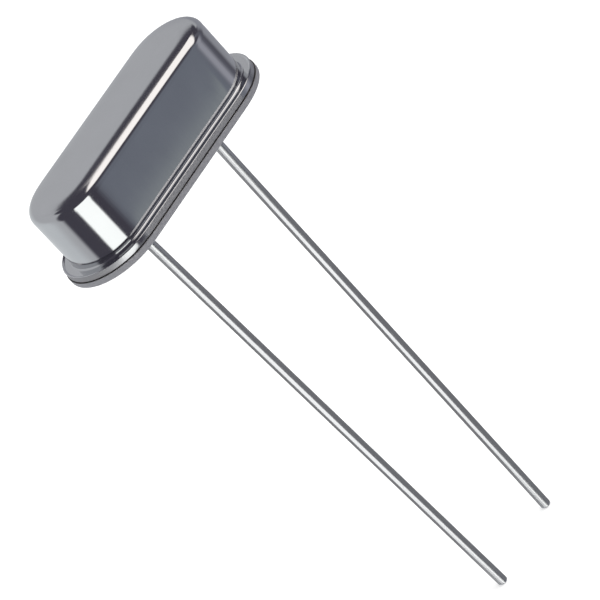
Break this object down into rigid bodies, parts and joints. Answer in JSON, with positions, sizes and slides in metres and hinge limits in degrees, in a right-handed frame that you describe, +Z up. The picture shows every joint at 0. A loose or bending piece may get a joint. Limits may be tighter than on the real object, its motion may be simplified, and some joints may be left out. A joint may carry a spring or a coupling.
{
  "type": "quartz crystal unit",
  "caption": "Low round-ended metal can on a welded flange with long wire leads, holding a quartz strip that sets the frequency of an oscillator circuit.",
  "frame": {"origin": "middle of the base's flat underside, on the plane that seats on a circuit board", "axes": "+Z up out of the board towards the can's top, +X along the can's length and the line of the leads, leads go down along -Z"},
  "size_m": [0.0112, 0.0046, 0.0259],
  "materials": {
    "can_metal": "satin nickel-plated drawn sheet",
    "base_metal": "satin nickel-plated stamped header",
    "lead_tin": "bright tin plate on drawn wire",
    "seal_glass": "dark blue-green fired sealing glass",
    "clip_metal": "rolled nickel-silver spring ribbon",
    "quartz": "lapped and etched quartz",
    "silver_film": "evaporated silver film",
    "silver_adhesive": "cured silver-filled adhesive"
  },
  "bodies": {
    "root": {"metal_cover": "can_metal", "base_plate": "base_metal", "lead_left": "lead_tin", "lead_right": "lead_tin", "glass_seal_left": "seal_glass", "glass_seal_right": "seal_glass", "support_clip_left": "clip_metal", "support_clip_right": "clip_metal", "quartz_blank": "quartz", "electrode_upper": "silver_film", "electrode_lower": "silver_film", "adhesive_left": "silver_adhesive", "adhesive_right": "silver_adhesive"}
  },
  "joints": []
}
